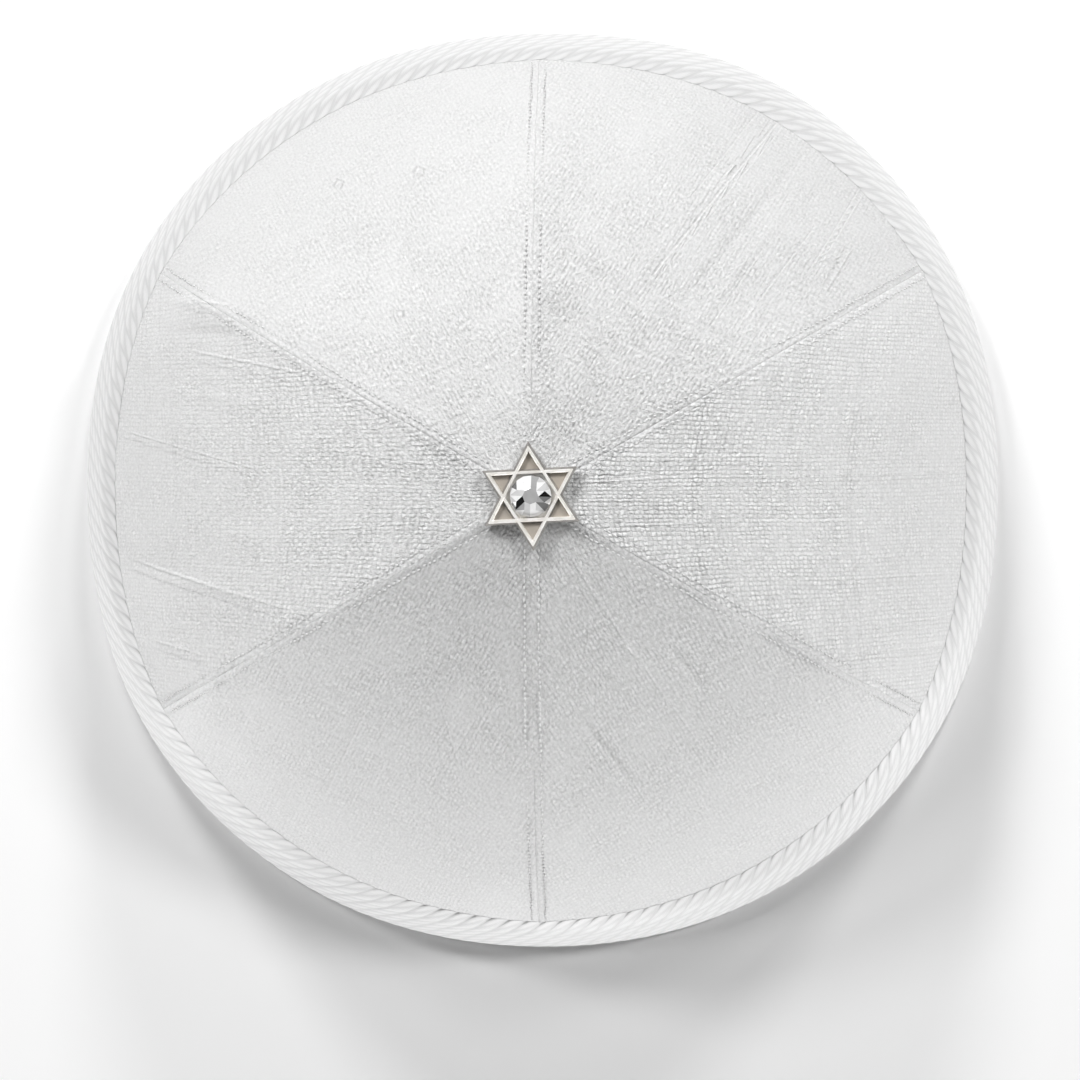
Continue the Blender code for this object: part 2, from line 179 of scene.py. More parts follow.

# A negative height makes a groove that the colour darkens with painted shade, beside a thread or of a
# small fold
# Threads that stand out, seen from above, in millimetres from the crown's middle
# start x, start y, end x, end y, width, height
SLUBS = (
    (7.4, 2.3, 22.4, 3.0, 0.32, 0.9),
    (9.0, 3.2, 20.0, 3.8, 0.28, -0.7),
    (22.4, 3.0, 76.2, 4.0, 0.26, 0.4),
    (9.0, -0.7, 19.9, -0.7, 0.26, 0.5),
    (15.7, -4.9, 28.0, -4.6, 0.32, 0.9),
    (15.7, -4.1, 22.0, -4.0, 0.28, -0.6),
    (21.6, 6.0, 38.7, 6.8, 0.26, 0.5),
    (44.5, -14.6, 75.0, -14.4, 0.26, 0.4),
    (52.0, -27.7, 74.3, -27.6, 0.30, 0.5),
    (59.3, -23.1, 76.2, -22.1, 0.26, 0.4),
    (44.0, 67.7, 16.2, 31.8, 0.30, 0.8),
    (44.9, 66.7, 18.3, 33.2, 0.24, 0.4),
    (35.5, 58.2, 33.7, 55.8, 0.30, -0.9),
    (40.3, 69.5, 27.0, 51.2, 0.24, 0.4),
    (59.2, 54.7, 48.6, 38.0, 0.28, 0.6),
    (58.4, 55.3, 47.8, 38.6, 0.24, 0.4),
    (49.0, 46.6, 35.9, 29.5, 0.24, 0.5),
    (39.7, 42.5, 27.3, 24.2, 0.24, 0.4),
    (41.8, 39.9, 34.5, 27.4, 0.24, 0.4),
    (56.0, 43.0, 51.3, 35.4, 0.30, -0.7),
    (7.0, -10.7, 17.4, -26.8, 0.36, 0.7),
    (17.4, -26.8, 32.2, -48.1, 0.30, 0.4),
    (23.6, -25.5, 29.6, -33.2, 0.80, -0.5),
    (8.9, -38.3, 17.2, -49.8, 0.85, -0.5),
    (15.6, -25.0, 18.0, -27.6, 0.42, 0.6),
    (-18.9, -24.4, -12.7, -47.4, 0.28, 0.4),
    (-25.0, -30.0, -38.0, -55.0, 0.28, 0.4),
    (-73.4, -12.1, -41.7, -19.8, 0.40, 0.7),
    (-69.9, -26.6, -59.4, -28.5, 0.34, 0.6),
    (-61.2, 25.3, -40.0, 21.0, 0.36, 0.6),
    (-60.0, 34.0, -54.0, 33.2, 0.36, 0.6),
    (-75.7, 11.3, -47.0, 4.2, 0.28, 0.5),
    (-36.0, 8.0, -12.0, 4.5, 0.26, 0.4),
    (-36.0, -6.0, -14.0, -4.0, 0.26, 0.5),
    (-36.0, 54.0, -35.0, 55.6, 0.32, -0.8),
    (-21.5, 56.0, -20.8, 57.5, 0.32, -0.8),
    (-22.1, 31.5, -22.0, 30.3, 0.34, -0.8),
    (-14.0, 26.0, -24.0, 44.0, 0.24, 0.3),
)
SLUB_ZONE = 5.4  # how far beside its line a slub is mapped, in shares of its width
NO_SLUB = 9.0  # what the map says elsewhere
SLUB_OVERRUN = 0.05  # how far a slub runs past its two points, in shares of its length
SLUB_TAPER = 0.15

# Star and crystal, as in the solids, with the bars' finer section
STAR_TIP_RADIUS = 0.0092
STAR_TURN = 2.8
STAR_STEP = 0.00006
FIELD_HEIGHT = 0.00115
WINDOW_FLOOR = 0.0007
# One bar from its outer foot to its inner foot: inset from the star's outline, height
BAR_SECTION = (
    (0.00000, 0.00000),
    (0.00000, 0.00110),
    (0.00008, 0.00128),
    (0.00036, 0.00188),
    (0.00044, 0.00198),
    (0.00078, 0.00200),
    (0.00084, 0.00194),
    (0.00094, 0.00150),
    (0.00094, 0.00000),
)
SLOPE_STEPS = 3  # how many steps of the section are the outer side and its slope
TIP_ROUNDING = 0.00010
WINDOW_INSET = 0.00080
WINDOW_LAP = 0.0001  # how far the window's floor reaches under its walls
FIELD_INSET = 0.0003
CRYSTAL_HEIGHT = 0.0019
GIRDLE_LOW = 0.0003
GIRDLE_HIGH = 0.0005
TABLE_SHARE = 0.38
STAR_FACET_SHARE = 0.72
CRYSTAL_TURN = -2.0
CRYSTAL_GAP = 0.0003  # between the stone and the window's wall

# How light each painted reflection of the crystal's facets is
PAINTED_REFLECTION_LEVELS = {"white": 0.97, "pale": 0.70, "grey": 0.42, "steel": 0.20, "dark": 0.015}
# The painted reflection of the facets beside each corner of the table, counter-clockwise from the right
# kite's first half, kite's second half, star facet, first rim facet, second rim facet
FACET_PAINTED_REFLECTIONS = (
    ("steel", "dark", "white", "white", "pale"),
    ("pale", "white", "grey", "pale", "grey"),
    ("grey", "white", "white", "white", "white"),
    ("white", "white", "pale", "steel", "white"),
    ("pale", "white", "dark", "pale", "steel"),
    ("dark", "grey", "pale", "white", "pale"),
    ("pale", "white", "white", "white", "white"),
    ("pale", "steel", "grey", "steel", "pale"),
)

# The photograph: 1080 pixels square, taken from straight above
PHOTO_PIXELS = 1080
PIXELS_PER_METRE = 5380.0
RIM_CENTRE_PIXEL = (541.0, 491.0)
CAMERA_HEIGHT = 0.60
CAMERA_LEAN = (1.60, 0.80)  # degrees from the vertical, towards +X and +Y
SENSOR = 36.0

# Lights: azimuth and elevation in degrees, distance and size in metres, share of full light
CAP_LIGHTS = (
    ("key_right_low", 30, 42, 2.6, 0.50, 0.18),
    ("key_right", 52, 39, 2.6, 0.50, 0.31),
    ("key_left", 131, 39, 2.6, 0.50, 0.57),
    ("fill_right", 0, 4, 2.8, 1.0, 0.09),
    ("fill_front_left", 215, 4, 2.8, 1.0, 0.48),
    ("fill_front", 270, 4, 2.8, 1.0, 0.72),
    ("fill_front_right", 325, 4, 2.8, 1.0, 0.52),
    ("overhead", 90, 88, 1.1, 0.7, 0.055),
)
CROWN_LIGHT = ("key_top", 108, 37, 2.6, 0.50, 0.285)
FLOOR_LIGHTS = (
    ("floor_right", 33, 40, 2.6, 0.40, 0.38),
    ("floor_low_right", 72, 24, 2.6, 0.40, 0.38),
    ("floor_back", 84, 44, 2.6, 0.40, 0.15),
    ("floor_low_left", 108, 24, 2.6, 0.40, 0.46),
    ("floor_left", 135, 36, 2.6, 0.40, 0.32),
    ("floor_far_left", 150, 44, 2.6, 0.40, 0.16),
)
WORLD_LIGHT = 0.03
FLOOR_REACH = 3.0
FLOOR_DROP = 0.00005  # below the braid's foot


def profile(share, out=0.0):
    """Radius and height of the crown's outline from its centre (0) to the floor (1)."""
    full = math.radians(CROWN_ARC)
    arc = full * np.asarray(share, float)
    across = CLOTH_RADIUS / math.sin(full)
    down = CROWN_DEPTH / (1.0 - math.cos(full))
    normal = np.stack([down * np.sin(arc), across * np.cos(arc)])
    normal = normal / np.linalg.norm(normal, axis=0)
    radius = across * np.sin(arc) + out * normal[0]
    height = down * (np.cos(arc) - math.cos(full)) + out * normal[1]
    return radius, height


SHARE_TABLE = np.linspace(0.0, 1.3, 2601)


def share_at_height(height, out=0.0):
    """The outline's share at a height, on the outline or a distance outside it."""
    return np.interp(-np.asarray(height, float), -profile(SHARE_TABLE, out)[1], SHARE_TABLE)


def share_at_radius(radius):
    full = math.radians(CROWN_ARC)
    sine = np.clip(np.asarray(radius, float) * math.sin(full) / CLOTH_RADIUS, 0.0, 1.0)
    return np.arcsin(sine) / full


def arc_length(share):
    """Distance along the outline from the crown's centre, in metres."""
    radius, height = profile(SHARE_TABLE)
    steps = np.hypot(np.diff(radius), np.diff(height))
    return np.interp(share, SHARE_TABLE, np.concatenate([[0.0], np.cumsum(steps)]))


def rim_share(angle):
    """The rim's radius at an angle, on a smooth curve through its table."""
    table = np.array(RIM_OUTLINE)
    place = (angle % 360.0) / 360.0 * len(table)
    row = np.floor(place).astype(int)
    t = place - row
    before, here, after, beyond = (table[(row + i) % len(table)] for i in (-1, 0, 1, 2))
    bend = 2 * before - 5 * here + 4 * after - beyond
    twist = 3 * (here - after) + beyond - before
    return here + 0.5 * t * (after - before + t * (bend + t * twist))


def panel_pull(angle, radius_share):
    """How much a panel is drawn in towards the straight line between its two seams."""
    width = 360.0 / PANEL_COUNT
    from_middle = (angle - FIRST_SEAM) % width - width / 2
    straight = np.cos(np.radians(width / 2)) / np.cos(np.radians(from_middle))
    return 1.0 - PANEL_FLAT_SHARE * (1.0 - radius_share**2) * (1.0 - straight)


def plan_place(radius, angle):
    """X and Y at a radius and an angle in degrees."""
    way = math.radians(angle)
    return radius * math.cos(way), radius * math.sin(way)


def mounds(x, y, table):
    """The sum of smooth mounds, each with its place, run, reach, width and height."""
    total = np.zeros_like(x)
    for angle, radius, run, reach, width, height in table:
        middle_x, middle_y = plan_place(radius, angle)
        way_x, way_y = plan_place(1.0, run)
        offset_x = x / CLOTH_RADIUS - middle_x
        offset_y = y / CLOTH_RADIUS - middle_y
        far = (offset_x * way_x + offset_y * way_y) / reach
        aside = (offset_y * way_x - offset_x * way_y) / width
        total += height * np.exp(-(far**2) - aside**2)
    return total


def worn(radius, angle, height):
    """A turned shape's points, given the rim's outline, the panels' flatness and the folds."""
    radius_share = np.minimum(1.0, radius / CLOTH_RADIUS)
    outline = 1.0 + (rim_share(angle) - 1.0) * radius_share
    scale = outline * panel_pull(angle, radius_share)
    x = radius * np.cos(np.radians(angle))
    y = radius * np.sin(np.radians(angle))
    outward = np.stack([x, y, np.full_like(x, CLOTH_RADIUS)], axis=-1)
    outward /= np.linalg.norm(outward, axis=-1, keepdims=True)
    fade = np.clip((height - BRAID_HEIGHT) / FOLD_FADE, 0.0, 1.0)
    lift = FOLD_DEPTH * mounds(x * scale, y * scale, PANEL_FOLDS) * fade
    return np.stack([x * scale, y * scale, height], axis=-1) + outward * lift[..., None]


def unit(vectors):
    return vectors / np.maximum(np.linalg.norm(vectors, axis=-1, keepdims=True), 1e-12)


def grid_normals(points):
    return unit(np.cross(np.gradient(points, axis=0), np.gradient(points, axis=1)))


def grid_faces(rows, columns, start=0):
    index = start + np.arange(rows * columns).reshape(rows, columns)
    corners = (index[:-1, :-1], index[1:, :-1], index[1:, 1:], index[:-1, 1:])
    return np.stack(corners, axis=-1).reshape(-1, 4)


def link_piece(name, mesh, replaced):
    """A mesh as a piece that rides on the cap and stands for the replaced solids."""
    piece = bpy.data.objects.new(name, mesh)
    bpy.context.scene.collection.objects.link(piece)
    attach(piece, "root")
    if replaced:
        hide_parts(*replaced)
    return piece


def add_piece(name, points, faces, material, replaced):
    """A smooth-shaded piece from its points and faces."""
    mesh = bpy.data.meshes.new(name)
    mesh.from_pydata(points.reshape(-1, 3).tolist(), [], faces)
    mesh.validate()
    mesh.shade_smooth()
    mesh.materials.append(material)
    return link_piece(name, mesh, replaced)


def add_uv(piece, name, values):
    """A UV map from one pair of numbers for each vertex."""
    layer = piece.data.uv_layers.new(name=name)
    corners = np.empty(len(piece.data.loops), dtype=np.int32)
    piece.data.loops.foreach_get("vertex_index", corners)
    layer.data.foreach_set("uv", values[corners].astype(np.float32).ravel())


class Nodes:
    """Short ways to add and link shader nodes."""

    def __init__(self, name):
        self.material = bpy.data.materials.new(name)
        self.material.use_nodes = True
        self.tree = self.material.node_tree
        self.shader = self.tree.nodes["Principled BSDF"]

    def add(self, kind, inputs=None, **settings):
        node = self.tree.nodes.new(kind)
        for key, value in settings.items():
            setattr(node, key, value)
        for key, value in (inputs or {}).items():
            self.feed(node.inputs[key], value)
        return node

    def feed(self, socket, value):
        if isinstance(value, bpy.types.NodeSocket):
            self.tree.links.new(value, socket)
        else:
            socket.default_value = value

    def math(self, operation, *values):
        node = self.add("ShaderNodeMath", operation=operation)
        for socket, value in zip(node.inputs, values):
            self.feed(socket, value)
        return node.outputs[0]

    def times(self, first, second):
        return self.math("MULTIPLY", first, second)

    def times_plus(self, first, second, added):
        return self.math("MULTIPLY_ADD", first, second, added)

    def stretch(self, vector, factors):
        node = self.add("ShaderNodeVectorMath", {0: vector, 1: factors}, operation="MULTIPLY")
        return node.outputs[0]

    def noise(self, vector, scale, detail=2.0, roughness=0.5):
        inputs = {"Vector": vector, "Scale": scale, "Detail": detail, "Roughness": roughness}
        return self.add("ShaderNodeTexNoise", inputs).outputs["Fac"]

    def vector(self, x, y, z=0.0):
        return self.add("ShaderNodeCombineXYZ", {"X": x, "Y": y, "Z": z}).outputs[0]

    def split(self, vector):
        return self.add("ShaderNodeSeparateXYZ", {"Vector": vector}).outputs

    def remap(self, value, low, high, to_low=0.0, to_high=1.0, smooth=True):
        names = ("Value", "From Min", "From Max", "To Min", "To Max")
        inputs = dict(zip(names, (value, low, high, to_low, to_high)))
        kind = "SMOOTHSTEP" if smooth else "LINEAR"
        return self.add("ShaderNodeMapRange", inputs, interpolation_type=kind).outputs[0]

    def white(self, vector):
        node = self.add("ShaderNodeTexWhiteNoise", {"Vector": vector}, noise_dimensions="2D")
        return node.outputs["Value"]

    def mix(self, share, first, second):
        node = self.add("ShaderNodeMix", data_type="RGBA")
        self.feed(node.inputs["Factor"], share)
        self.feed(node.inputs[6], first)
        self.feed(node.inputs[7], second)
        return node.outputs[2]

    def uv(self, name):
        return self.add("ShaderNodeUVMap", uv_map=name).outputs[0]

    def place(self):
        return self.add("ShaderNodeTexCoord").outputs["Object"]

    def bump(self, height, distance, strength=1.0):
        inputs = {"Height": height, "Distance": distance, "Strength": strength}
        return self.add("ShaderNodeBump", inputs).outputs[0]

    def set(self, **values):
        short_names = {
            "colour": "Base Color",
            "specular": "Specular IOR Level",
            "sheen": "Sheen Weight",
            "coat": "Coat Weight",
        }
        for key, value in values.items():
            name = short_names.get(key, key.replace("_", " ").title())
            self.feed(self.shader.inputs[name], value)
        return self.material


def grey(level):
    return (level, level, level, 1.0)


def slub_heights(n):
    """Height of the slubs that stand out: a raised thread with a groove on its lower side, which in the
    colour is a lighter thread beside a painted shadow.
    """
    side, height, _ = n.split(n.uv("slub"))
    thread = n.remap(n.math("ABSOLUTE", side), 1.0, 0.15)
    groove_and_painted_shadow = n.remap(n.math("ABSOLUTE", n.math("ADD", side, 1.25)), 0.85, 0.1)
    return n.times(n.times_plus(groove_and_painted_shadow, -0.7, thread), height)


def ridge_wave(n, place, power):
    """A rounded ridge over each whole step of a place: 1 in its middle, 0 at its borders."""
    side = n.times_plus(n.math("FRACT", place), 2.0, -1.0)
    return n.math("SUBTRACT", 1.0, n.math("POWER", n.math("ABSOLUTE", side), power))


def woven_rows(n, weave_uv):
    """Thick uneven weft over fine warp, with some long slubs: about 0 to 1, 0.45 on average."""
    across, along, _ = n.split(weave_uv)
    drift = n.noise(n.stretch(weave_uv, (1.0, 0.30, 1.0)), 0.08, 2.0)
    jitter = n.noise(weave_uv, 1.1, 2.0)
    across = n.times_plus(drift, 1.6, across)
    across = n.times_plus(jitter, 0.75, across)
    row_place = n.math("DIVIDE", across, WEFT_PITCH)
    row = n.math("FLOOR", row_place)
    row_chance = n.white(n.vector(row, 3.0))
    float_place = n.math("DIVIDE", along, 2 * WARP_PITCH)
    float_place = n.times_plus(row_chance, 0.42, float_place)
    float_place = n.times_plus(jitter, 0.9, float_place)
    chance = n.white(n.vector(row, n.math("FLOOR", float_place)))
    thread = ridge_wave(n, row_place, 2.4)
    dash = ridge_wave(n, float_place, 3.0)
    slub_noise = n.vector(n.times(row, 3.77), n.times(along, 0.035))
    long_slub = n.remap(n.noise(slub_noise, 1.0, 1.0), 0.62, 0.72)
    dash = n.times(dash, n.times_plus(chance, 0.85, 0.30))
    dash = n.math("MAXIMUM", dash, n.times(long_slub, 0.80))
    weave = n.times(thread, n.times_plus(dash, 0.78, 0.22))
    column_place = n.math("DIVIDE", n.math("ADD", along, jitter), COLUMN_PITCH)
    column = n.remap(n.white(n.vector(n.math("FLOOR", column_place), 7.0)), 0.55, 1.0)
    column = n.times(column, ridge_wave(n, column_place, 2.0))
    return n.times_plus(column, -0.17, weave)


def painted_needle_hole_shade(n, distance, run, number):
    """1 at the holes that the needle left, in a broken row on each side of a seam, where the cloth's
    colour takes painted shade.
    """
    row = n.math("ABSOLUTE", n.math("SUBTRACT", distance, STITCH_GROOVE[0] / MM))
    beat = n.math("COSINE", n.times(run, 2 * math.pi / (STITCH_PITCH / MM)))
    patches = n.noise(n.vector(run, number), 0.9, 1.0)
    holes = n.times(n.remap(row, 0.26, 0.10), n.remap(beat, 0.50, 0.95))
    holes = n.times(holes, n.remap(run, 10.0, 12.0))
    return n.times(holes, n.remap(patches, 0.40, 0.62))


def cloth_material(number):
    """Plain weave of fine warp and thick, uneven, slubby weft, with a soft shine and painted light and
    shade in its colour.
    """
    n = Nodes(f"slubbed_cloth_{number + 1}")
    rows, grain = PANEL_WEAVE[number]
    weave_uv = n.uv("weave")
    distance, run, _ = n.split(n.uv("seam"))
    weave = n.math("SUBTRACT", woven_rows(n, weave_uv), 0.42)
    fuzz = n.noise(n.stretch(weave_uv, (1.0, 0.62, 1.0)), 2.1, 3.0, 0.62)
    fuzz = n.math("SUBTRACT", fuzz, 0.5)
    patches = n.remap(n.noise(weave_uv, 0.10, 3.0, 0.6), 0.34, 0.66, 0.60, 1.0)
    regular = n.remap(n.noise(weave_uv, 0.30, 2.0), 0.38, 0.62, 0.60, 1.0)
    fade = n.remap(run, 8.0, 88.0, 1.0, 0.36, smooth=False)
    strength = n.times(patches, fade)
    texture = n.times(n.times(weave, regular), rows)
    texture = n.times_plus(fuzz, 2.0 * grain, texture)
    texture = n.times(texture, strength)
    slubs = slub_heights(n)
    height = n.times_plus(slubs, 0.5, texture)
    # The colour follows the relief: painted shade between threads and beside slubs, painted highlights
    # on thread floats, with the threads' own unevenness
    level = n.times_plus(slubs, 0.20, n.times(texture, 0.85))
    weave_tone_and_painted_light = n.remap(level, -0.50, 0.50, 0.0, 1.0, smooth=False)
    # Painted light and shade of this panel, from the star out to the rim
    near_star, near_rim = PANEL_PAINTED_LIGHT[number]
    shade = n.remap(run, 12.0, 92.0, near_star, near_rim, smooth=False)
    colour = n.times(n.times_plus(weave_tone_and_painted_light, 0.62, 0.35), shade)
    # Painted shade in the needle holes: a darker grey, beside a small dent in the relief
    holes = painted_needle_hole_shade(n, distance, run, number)
    colour = n.mix(n.times(holes, 0.12), colour, grey(0.25))
    height = n.math("SUBTRACT", height, n.times(holes, 0.25))
    finish = {"roughness": 0.52, "specular": 0.42, "sheen": 0.15, "sheen_roughness": 0.5}
    return n.set(colour=colour, normal=n.bump(height, 0.00024), **finish)


def lining_side_material():
    """The cloth's wrong side, plainer and softer, with painted shade between its threads."""
    n = Nodes("cloth_wrong_side")
    across, along, _ = n.split(n.uv("weave"))
    weft = n.math("ABSOLUTE", n.math("SINE", n.times(across, math.pi / WEFT_PITCH)))
    warp = n.math("ABSOLUTE", n.math("SINE", n.times(along, math.pi / WARP_PITCH)))
    weave = n.times_plus(weft, 0.6, n.times(warp, 0.4))
    fuzz = n.noise(n.uv("weave"), 2.4, 3.0)
    # The colour follows the weave: painted shade in the gaps between threads, with random fuzz
    colour = n.mix(n.remap(n.math("ADD", weave, fuzz), 0.5, 1.5), grey(0.50), grey(0.68))
    return n.set(colour=colour, roughness=0.85, specular=0.25, sheen=0.2, normal=n.bump(weave, 0.00012))


def stitch_material():
    """Shiny twisted thread: strands run round it at a slant, with painted shade in the grooves between
    them.
    """
    n = Nodes("stitch_thread")
    around, along, _ = n.split(n.uv("strand"))
    slant = n.times(along, 2.6)
    turn = n.times_plus(around, 2 * math.pi * STITCH_STRANDS, slant)
    line = n.times_plus(n.math("SINE", turn), 0.5, 0.5)
    fuzz = n.noise(n.place(), 2600.0, 2.0)
    height = n.times_plus(fuzz, 0.5, line)
    # The colour follows the strands' relief: painted shade in the grooves, lighter crests
    colour = n.mix(n.remap(height, 0.2, 1.2), grey(0.672), grey(0.80))
    normal = n.bump(height, 0.00005, 0.8)
    return n.set(colour=colour, roughness=0.42, specular=0.5, sheen=0.15, normal=normal)


def braid_material():
    """White braid: shiny strands twisted and laid aslant, with fine fibres along them, and painted
    highlights and shade in its colour.
    """
    n = Nodes("braid_strands")
    rib, turns, _ = n.split(n.uv("strand"))
    across = n.math("FRACT", rib)
    strand_place = n.times_plus(across, RIB_SLANT, turns)
    raised = n.times(ridge_wave(n, rib, 2.2), ridge_wave(n, strand_place, 1.4))
    fibre_place = n.times_plus(across, 2 * math.pi * 7, n.times(turns, 5.0))
    fibres = n.times_plus(n.math("SINE", fibre_place), 0.5, 0.5)
    fuzz = n.noise(n.place(), 1800.0, 3.0)
    fine = n.times_plus(fuzz, 0.8, n.times(fibres, 0.5))
    # Painted highlights on the raised strands and painted shade between ribs and strands, with the
    # fibres' own unevenness
    level = n.times_plus(fine, 0.5, raised)
    colour = n.mix(n.remap(level, 0.2, 1.2), grey(0.68), grey(0.82))
    normal = n.bump(fine, 0.00004, 0.8)
    return n.set(colour=colour, roughness=0.40, specular=0.5, sheen=0.15, normal=normal)


def silver_material():
    """Polished, slightly warm silver."""
    n = Nodes("star_silver")
    scratches = n.noise(n.place(), 1400.0, 4.0, 0.7)
    cloud = n.remap(n.noise(n.place(), 480.0, 2.0), 0.35, 0.65)
    return n.set(
        colour=n.mix(cloud, (0.84, 0.81, 0.76, 1.0), (1.0, 0.98, 0.95, 1.0)),
        roughness=n.times_plus(scratches, 0.10, 0.24),
        metallic=0.30,
        normal=n.bump(scratches, 0.00002, 0.5),
    )


def field_material():
    """The star's satin fields, taupe, with painted light that makes them lighter towards the top and
    the right.
    """
    n = Nodes("star_field")
    place = n.place()
    x, y, _ = n.split(place)
    cloud = n.noise(place, 700.0, 3.0, 0.6)
    # Painted light: lighter towards the right and the top, with a random cloud
    shade = n.times_plus(x, 14.0, n.times_plus(cloud, 0.5, 0.30))
    shade = n.times_plus(y, 22.0, shade)
    colour = n.mix(shade, (0.37, 0.345, 0.315, 1.0), (0.60, 0.53, 0.45, 1.0))
    return n.set(colour=colour, roughness=0.45, metallic=0.35, normal=n.bump(cloud, 0.00003, 0.5))


def painted_shade_slope_material():
    """The outer slopes of the star's bars: the silver with painted shade, as they turn away from the
    light.
    """
    n = Nodes("star_slope_painted_shade")
    cloud = n.noise(n.place(), 900.0, 3.0, 0.6)
    colour = n.mix(cloud, (0.13, 0.125, 0.12, 1.0), (0.42, 0.40, 0.37, 1.0))
    return n.set(colour=colour, roughness=0.32, metallic=0.3, normal=n.bump(cloud, 0.00002, 0.5))


def crystal_painted_reflection_material(shade):
    """One painted reflection of the facets: a fixed grey, white or dark, for what the stone's mirrored
    back reflects.
    """
    n = Nodes(f"crystal_{shade}")
    level = PAINTED_REFLECTION_LEVELS[shade]
    cloud = n.noise(n.place(), 900.0, 1.0)
    colour = n.mix(cloud, grey(level * 0.80), grey(level))
    return n.set(colour=colour, roughness=0.06, specular=0.6, coat=0.4, coat_roughness=0.02)


def steel_material():
    n = Nodes("post_steel")
    rings = n.noise(n.place(), 1500.0, 3.0)
    colour = n.mix(rings, grey(0.50), grey(0.62))
    return n.set(colour=colour, roughness=0.36, metallic=1.0, normal=n.bump(rings, 0.00002))


def floor_material():
    n = Nodes("floor")
    return n.set(colour=grey(0.97), roughness=0.9, specular=0.1)


def column_distances(radius):
    """Distances from a seam to each column of points, up to the panel's middle."""
    middle = radius / 2
    zone = min(SEAM_ZONE, SEAM_ZONE_SHARE * middle)
    near = zone * np.linspace(0.0, 1.0, SEAM_COLUMNS)
    far = np.linspace(zone, middle, PANEL_HALF_COLUMNS - SEAM_COLUMNS + 2)
    return np.concatenate([near, far[1:]])


def hump(distance, place, width):
    """A smooth hump: 1 at its place, almost 0 two widths away."""
    return np.exp(-(((distance - place) / width) ** 2))


def seam_relief(distance, run, sharpness):
    """The cloth beside a seam: a sharp crease, a rolled ridge, and a groove pulled by stitches."""
    crease_width, crease_height = SEAM_CREASE
    depth = 0.75 + 0.25 * np.sin(2 * np.pi * run / CREASE_BEAT + 9.0 * sharpness)
    crease = crease_height * sharpness * depth * hump(distance, 0.0, crease_width)
    valley_width, valley_height = SEAM_VALLEY
    valley = valley_height * (1.0 - sharpness) * hump(distance, 0.0, valley_width)
    short_wave, long_wave = (2 * np.pi * run / beat for beat in PUCKER_BEATS)
    puckers = 0.82 + 0.18 * np.sin(short_wave) * np.sin(long_wave + 1.0)
    ridge_place, ridge_width, ridge_height = SEAM_RIDGE
    ridge = ridge_height * puckers * hump(distance, ridge_place, ridge_width)
    ridge = ridge * (0.3 + 0.7 * sharpness)
    pull = 0.5 - 0.5 * np.cos(2 * np.pi * run / STITCH_PITCH)
    groove_place, groove_width, groove_height = STITCH_GROOVE
    groove = groove_height * (1.3 - 0.6 * pull) * hump(distance, groove_place, groove_width)
    swell_place, swell_width, swell_height = SEAM_SWELL
    swell = swell_height * hump(distance, swell_place, swell_width)
    fade_start, fade_end, kept = SEAM_FADE
    fade = np.interp(run, (fade_start, fade_end), (1.0, kept))
    return crease + valley + (ridge + groove + swell) * fade


def seam_sharpness(number, run):
    return np.interp(run, SHARPNESS_CHANGE, SEAM_SHARPNESS[number % PANEL_COUNT])


def soft_waves(x, y):
    """A slight unevenness of sewn cloth, as a sum of long waves."""
    random = np.random.default_rng(11)
    total = np.zeros_like(x)
    for length in WAVE_LENGTHS:
        way = random.uniform(0.0, math.pi)
        phase = random.uniform(0.0, 2 * math.pi)
        place = (x * math.cos(way) + y * math.sin(way)) / length
        total += WAVE_RISE * length * np.sin(2 * math.pi * place + phase)
    return total


def cloth_relief(points, distance, run, sharpness):
    """Height of the fine relief above the crown's own surface."""
    x, y, height = np.moveaxis(points, -1, 0)
    wrinkles = WRINKLE_HEIGHT * mounds(x, y, WRINKLES)
    relief = seam_relief(distance, run, sharpness) + soft_waves(x, y) + wrinkles
    by_star = np.interp(np.hypot(x, y), STAR_FADE, (0.0, 1.0))
    by_braid = np.clip((height - BRAID_HEIGHT) / BRAID_FADE, 0.0, 1.0)
    return relief * by_star * by_braid


def panel_grid(number):
    """Places, distances from the nearest seam and two of the UV maps for one panel's points."""
    half = math.pi / PANEL_COUNT
    hole = share_at_radius(STEM_RADIUS + 2 * CLEARANCE)
    edge = share_at_height(BRAID_WALL + CLEARANCE + CLOTH_WALL / 2)
    shares = np.linspace(hole, edge, PANEL_ROWS)
    radii, heights = profile(shares)
    distances = np.stack([column_distances(radius) for radius in radii])
    side = half - np.arcsin(np.clip(distances / radii[:, None], 0.0, math.sin(half)))
    side[:, -1] = 0.0
    side = np.concatenate([-side, side[:, -2::-1]], axis=1)
    distances = np.concatenate([distances, distances[:, -2::-1]], axis=1)
    middle = FIRST_SEAM + 360.0 / PANEL_COUNT * (number + 0.5)
    radius = np.broadcast_to(radii[:, None], side.shape)
    height = np.broadcast_to(heights[:, None], side.shape)
    points = worn(radius, middle + np.degrees(side), height)
    run = np.broadcast_to(arc_length(shares)[:, None], side.shape)
    across = radius * np.sin(side)
    along = arc_length(share_at_radius(radius * np.cos(side)))
    shift = WEAVE_SHIFT * number
    weave = np.stack([across / MM + shift, along / MM + shift], axis=-1)
    seam = np.stack([distances, run], axis=-1) / MM
    return points, distances, run, weave, seam


